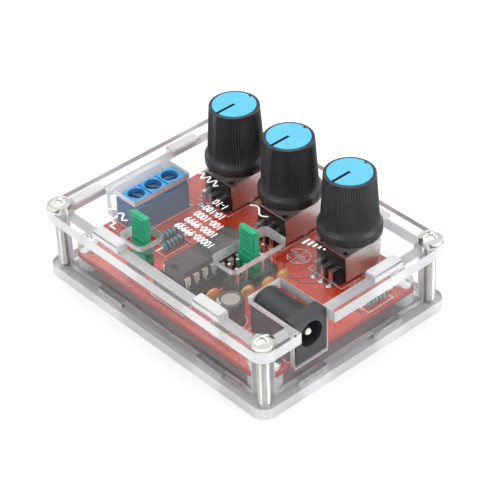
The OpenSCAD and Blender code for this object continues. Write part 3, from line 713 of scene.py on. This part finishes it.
def build_resistors():
    """Dog-bone bodies with five painted bands."""
    bands = [(-0.36, 0), (-0.15, 0), (0.02, 0), (0.19, 0), (0.38, 1)]
    for n, (low, high) in enumerate(solid_boxes("resistor_bodies"), 1):
        centre, size = (low + high) / 2, high - low
        direction = "X" if size.x > size.y else "Y"
        length = max(size.x, size.y)
        radius = min(size.x, size.y, size.z) / 2
        stations = 64

        def dog_bone(t):
            """Radius at t from -0.5 to 0.5: bulbs at the ends and a thinner waist."""
            end = math.sqrt(max(0.0, 1 - max(0.0, (abs(t) - 0.36) / 0.14) ** 2))
            waist = 0.80 + 0.20 / (1 + math.exp(-(abs(t) - 0.26) * 60))
            return radius * waist * end

        profile = [(0, -length / 2)]
        for i in range(1, stations):
            t = i / stations - 0.5
            profile.append((max(0.05, dog_bone(t)), t * length))
        profile.append((0, length / 2))

        def paint(height):
            t = height / length
            for place, kind in bands:
                if abs(t - place) < 0.045:
                    return 1 + kind
            return 0

        bm = bmesh.new()
        lathe(bm, profile, steps=32, matrix=along(*centre, direction), paint=paint)
        piece = new_piece(f"resistor_{n}", bm,
                          [MAT["resistor"], MAT["band_dark"], MAT["band_brown"]], CASE, 60)
        if n == 1:
            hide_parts("resistor_bodies")


def build_can():
    """Electrolytic capacitor: sleeved can with a rolled groove and a scored top."""
    low, high = box_mm("electrolytic_can")
    centre = (low + high) / 2
    r, base, top = (high.x - low.x) / 2, low.z, high.z
    inner = 0.68 * r                         # the bare disc inside the sleeve's rolled edge
    bm = bmesh.new()
    profile = [(0, base), (r - 0.35, base), (r - 0.05, base + 0.15), (r, base + 0.4),
               (r, base + 0.9), (r - 0.28, base + 1.15), (r - 0.28, base + 1.3),
               (r, base + 1.6), (r, top - 0.6), (r - 0.08, top - 0.25), (r - 0.3, top - 0.06),
               (r - 0.6, top), (inner + 0.15, top - 0.06), (inner, top - 0.14),
               (inner - 0.02, top - 0.34)]

    lathe(bm, profile, (centre.x, centre.y), 64)
    stripe = Vector((0.45, 0.9)).normalized()
    for face in bm.faces:
        c = face.calc_center_median()
        out = Vector((c.x - centre.x, c.y - centre.y))
        if out.length > r * 0.8 and c.z > base + 1.6 and out.normalized().dot(stripe) > 0.90:
            face.material_index = 1
    piece = new_piece("electrolytic_sleeve", bm, [MAT["sleeve"], MAT["sleeve_mark"]], CASE, 45)
    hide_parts("electrolytic_can")

    bm = bmesh.new()
    def scored(x, y):
        """Depth of the cross-shaped relief score in the can's top."""
        line = min(abs(x), abs(y))
        reach = math.hypot(x, y)
        return 0.10 * max(0.0, 1 - line / 0.13) if reach < inner * 0.8 else 0.0

    rows = 20
    verts = {}
    for i in range(rows + 1):
        radius = inner * i / rows
        for k in range(64 if i else 1):
            a = TAU * k / 64
            x, y = radius * math.cos(a), radius * math.sin(a)
            z = top - 0.24 - scored(x, y)
            verts[i, k] = bm.verts.new((centre.x + x, centre.y + y, z))
    for i in range(rows):
        for k in range(64):
            j = (k + 1) % 64
            if i == 0:
                bm.faces.new((verts[0, 0], verts[1, k], verts[1, j]))
            else:
                bm.faces.new((verts[i, k], verts[i + 1, k], verts[i + 1, j], verts[i, j]))
    rim = [verts[rows, k] for k in range(64)]
    under = [bm.verts.new((v.co.x, v.co.y, top - 0.6)) for v in rim]
    for k in range(64):
        j = (k + 1) % 64
        bm.faces.new((rim[k], rim[j], under[j], under[k]))
    bm.faces.new(under)
    piece = new_piece("electrolytic_top", bm, [MAT["can_top"]], CASE, 30)


def build_beads():
    """Dipped ceramic capacitors: uneven flattened beads."""
    bm = bmesh.new()
    for n, (low, high) in enumerate(solid_boxes("ceramic_capacitors")):
        centre, half = (low + high) / 2, (high - low) / 2
        made = bmesh.ops.create_icosphere(bm, subdivisions=4, radius=1.0)["verts"]
        for v in made:
            d = v.co.normalized()
            lump = 0.95 + 0.05 * noise.noise(d * 1.7 + Vector((n * 5.0, 0, 0)))
            boxy = (abs(d.x) ** 2.6 + abs(d.y) ** 2.6 + abs(d.z) ** 2.6) ** (-1 / 2.6)
            v.co = centre + Vector((d.x * half.x, d.y * half.y, d.z * half.z)) * boxy * lump
    piece = new_piece("ceramic_beads", bm, [MAT["amber"]], CASE, 60)
    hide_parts("ceramic_capacitors")


def build_chip():
    top = box_mm("chip_body")[1].z
    refined("chip_body", 0.16, [MAT["chip"]])
    refined("chip_socket", 0.12, [MAT["socket"]])
    low, high = box_mm("chip_body")
    x = (low.x + high.x) / 2
    bm = bmesh.new()
    for row, offset in enumerate((-0.9, 0.9)):
        for k in range(7):
            y = low.y + 5.5 + k * 1.25
            lathe(bm, [(0, top - 0.01), (0.32, top - 0.01), (0.28, top + 0.004), (0, top + 0.004)],
                  (x + offset, y + row * 0.4), 8)
    new_piece("chip_dots", bm, [MAT["chip_mark"]], CASE, 30)


GRIP_HALF = 0.675    # half the thickness of a jumper's grip over its ribs


def build_connectors():
    block_top = box_mm("terminal_block_housing")[1].z
    painted_lit_depth = 3.5                          # the top band whose upward faces get the lighter blue as painted light; all other faces get the darker blue as painted shade

    # painted light and shade: upward faces near the top get the lit blue, all other faces the shaded
    # blue
    def painted_light_split(centre, normal):
        return 0 if normal.z > 0.5 and centre.z > block_top - painted_lit_depth else 1

    refined("terminal_block_housing", 0.18, [MAT["block"], MAT["block_side_painted_shade"]], paint=painted_light_split)
    refined("power_jack_housing", 0.25, [MAT["jack"]], segments=3)
    for node in ("waveform_header_base", "range_header_base"):
        refined(node, 0.12, [MAT["header"]])
    for node in ("waveform_jumper_cap", "range_jumper_cap"):
        low, high = box_mm(node)
        centre = (low + high) / 2
        grip_low = low.z + 7.2               # the ribbed grip starts above the cap's body

        # painted shade: recessed faces between the ribs get the darker green
        def painted_recess_split(face_centre, normal):
            depth = abs(face_centre.y - centre.y)
            ribbed = grip_low < face_centre.z < high.z - 0.8 and depth < GRIP_HALF - 0.05
            return 1 if ribbed and abs(normal.x) < 0.9 else 0

        refined(node, 0.12, [MAT["jumper"], MAT["jumper_recess_painted_shade"]], paint=painted_recess_split)


def build_pots():
    for k in KNOBS:
        refined(f"pot_{k}_body", 0.2, [MAT["pot_black"]])
        refined(f"pot_{k}_cover", 0.12, [MAT["pot_steel"]], segments=2)


# ---------------------------------------------------------------- knobs
RIBS = 64
RIB_DEPTH = 0.20
POINTER_HALF = 0.55


def build_knob(k):
    """A tapered knob: fine ribs that run out in points on a smooth bevel, and a pointer."""
    low, high = box_mm(f"knob_{k}")
    centre = (low + high) / 2
    flange, base, rim_z = (high.x - low.x) / 2, low.z, high.z
    cap_r = (box_mm(f"knob_{k}_cap")[1].x - box_mm(f"knob_{k}_cap")[0].x) / 2
    rim = cap_r + 0.8
    waist = flange - 0.75                    # where the bevel ends and the ribs begin
    flange_top, rib_low = base + 2.2, base + 3.3
    steps = RIBS * 6
    bore = 3.05

    def fluted(radius, height, angle):
        if radius < rim - 0.3 or height < flange_top:
            return radius
        pointer = angle - math.radians(90)
        sideways = abs(math.atan2(math.sin(pointer), math.cos(pointer))) * radius
        if sideways < POINTER_HALF:
            return radius + 0.10 * (height < rim_z - 0.5)
        if height < rib_low - 0.6 or height > rim_z - 0.25 or sideways < POINTER_HALF + 0.25:
            return radius
        groove = 0.5 - 0.5 * math.cos(angle * RIBS)
        fade = min(1.0, (height - (rib_low - 0.6)) / 0.7)
        return radius - RIB_DEPTH * max(0.0, groove - (1 - fade))

    def taper(t):
        """Radius and height up the ribbed side, t from 0 to 1."""
        return waist + (rim - waist) * t, rib_low + (rim_z - 0.35 - rib_low) * t

    profile = [(bore, base + 9), (bore, base), (flange - 0.25, base), (flange - 0.05, base + 0.1),
               (flange, base + 0.3), (flange, flange_top - 0.1), (flange - 0.07, flange_top)]
    for t in (0.15, 0.3, 0.45, 0.6, 0.8):
        rise = flange_top + (rib_low - flange_top) * t
        profile.append((flange - 0.07 + (waist - flange + 0.07) * t ** 0.7, rise))
    profile += [taper(t / 8) for t in range(9)]
    profile += [(rim - 0.02, rim_z - 0.2), (rim - 0.06, rim_z - 0.07), (rim - 0.18, rim_z),
                (rim - 0.62, rim_z), (rim - 0.74, rim_z - 0.08), (rim - 0.77, rim_z - 0.25),
                (rim - 0.77, rim_z - 0.98), (0, rim_z - 0.98)]
    bm = bmesh.new()
    lathe(bm, [(0, base + 9)] + profile, (centre.x, centre.y), steps, fluted)
    piece = new_piece(f"knob_{k}_ribbed", bm, [MAT["knob"]], f"control_{k}", 38)
    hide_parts(f"knob_{k}")


def build_knob_cap(k):
    top = box_mm(f"knob_{k}_cap")[1].z

    # painted shade: the slot's recessed floor and walls in the cap get the near-black slot material
    def paint(centre, normal):
        return 1 if centre.z < top - 0.06 and centre.z > top - 0.7 and normal.z > -0.5 \
            and (centre.xy - middle(f"knob_{k}_cap").xy).length < 5.0 else 0

    refined(f"knob_{k}_cap", 0.09, [MAT["cap"], MAT["slot"]], f"control_{k}", paint)


# ---------------------------------------------------------------- legends on the lid
def text_strokes(name, words, height, x, y, align="LEFT", weight=0.10, stretch=1.0):
    """Raised white figures on the lid that read along +X."""
    curve = bpy.data.curves.new(name, "FONT")
    curve.body = words
    curve.size = height * 1.38 * MM
    curve.align_x = align
    curve.extrude = 0.012 * MM
    curve.offset = weight * MM
    curve.resolution_u = 5
    source = bpy.data.objects.new(name + "_source", curve)
    bpy.context.scene.collection.objects.link(source)
    bpy.context.view_layer.update()
    mesh = bpy.data.meshes.new_from_object(source)
    bpy.data.objects.remove(source)
    mesh.transform(Matrix.Translation(Vector((x, y, lid_top + 0.014)) * MM)
                   @ Matrix.Diagonal((stretch, 1, 1, 1)))
    mesh.materials.clear()
    mesh.materials.append(MAT["legend"])
    piece = bpy.data.objects.new(name, mesh)
    bpy.context.scene.collection.objects.link(piece)
    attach(piece, CASE)


def wave(x, y, width, height, turns, kind):
    """Points of a sine, triangle or square wave from left to right."""
    points = []
    if kind == "sine":
        count = 16 * turns
        return [(x + width * i / count, y + height / 2 * math.sin(TAU * turns * i / count))
                for i in range(count + 1)]
    if kind == "triangle":
        steps = 2 * turns
        return [(x + width * i / steps, y + height / 2 * (1 if i % 2 else -1))
                for i in range(steps + 1)]
    steps = 2 * turns
    for i in range(steps):
        level = y + height / 2 * (1 if i % 2 == 0 else -1)
        points += [(x + width * i / steps, level), (x + width * (i + 1) / steps, level)]
    return points


LEGEND_STRETCH = 0.80


def build_legends():
    """Number ranges beside the range jumper and plain signal symbols by each control."""
    rows = [("1-10", 10.9, -2.3), ("10-100", 10.8, 0.7), ("100-1000", 10.6, 3.6),
            ("1000-9999", 10.5, 6.5), ("10000-99999", 10.4, 9.5)]
    for n, (words, x, y) in enumerate(rows, 1):
        text_strokes(f"range_legend_{n}", words, 2.1, x, y, "RIGHT", 0.045, LEGEND_STRETCH)
    z, thick, stroke = lid_top + 0.002, 0.024, 0.42
    bm = bmesh.new()
    ribbon(bm, wave(14.8, -6.0, 6.6, 1.9, 3, "sine"), stroke, z, thick)
    ribbon(bm, wave(-2.3, -6.0, 6.2, 1.9, 1, "sine"), stroke, z, thick)
    for k in range(5):
        x = -20.0 + k * 1.25
        ribbon(bm, [(x, -6.9), (x, -6.3 + k * 0.42)], 0.6, z, thick)
    ribbon(bm, wave(19.2, 17.6, 3.6, 1.7, 1, "sine"), stroke, z, thick)
    ribbon(bm, wave(24.2, 17.6, 3.8, 1.7, 1, "triangle"), stroke, z, thick)
    ribbon(bm, wave(18.6, 21.0, 3.6, 1.5, 1, "square"), stroke, z, thick)
    new_piece("control_symbols", bm, [MAT["legend"]], CASE, 30)


# ---------------------------------------------------------------- finishes on CAD nodes
KEPT = {
    "board_spacers": "nylon", "chip_socket_pins": "tin", "chip_pins": "leg",
    "resistor_leads": "tin", "electrolytic_leads": "tin", "ceramic_leads": "tin",
    "power_jack_pin": "tin", "power_jack_contacts": "tin", "terminal_block_pins": "tin",
    "waveform_header_pins": "tin", "range_header_pins": "tin",
    "waveform_jumper_clip": "gold", "range_jumper_clip": "gold",
    "pot_1_pins": "tin", "pot_2_pins": "tin", "pot_3_pins": "tin",
    "pot_1_shaft": "alloy", "pot_2_shaft": "alloy", "pot_3_shaft": "alloy",
    # painted shade: dark bluish steel for the screws and cages sitting in the shaded terminal holes
    "terminal_screw_1": "block_steel_painted_shade", "terminal_screw_2": "block_steel_painted_shade",
    "terminal_screw_3": "block_steel_painted_shade",
    "terminal_cage_1": "block_steel_painted_shade", "terminal_cage_2": "block_steel_painted_shade",
    "terminal_cage_3": "block_steel_painted_shade",
}


def finish_kept_nodes():
    for node, finish in KEPT.items():
        materials = frame["nodes"][node].data.materials
        for n in range(len(materials)):
            materials[n] = MAT[finish]


# ---------------------------------------------------------------- build
add_studio(*add_camera())
add_floor()
build_case()
build_screws("case_screws", screw_x, screw_y, lid_top)
build_screws("board_screws", fixing_x, fixing_y, board_top)
build_board()
build_board_print()
build_resistors()
build_can()
build_beads()
build_chip()
build_connectors()
build_pots()
for k in KNOBS:
    build_knob(k)
    build_knob_cap(k)
build_legends()
finish_kept_nodes()

scene = bpy.context.scene
scene.view_settings.view_transform = "Standard"
scene.cycles.max_bounces = 24
scene.cycles.transmission_bounces = 24
scene.cycles.transparent_max_bounces = 16
scene.cycles.use_denoising = True
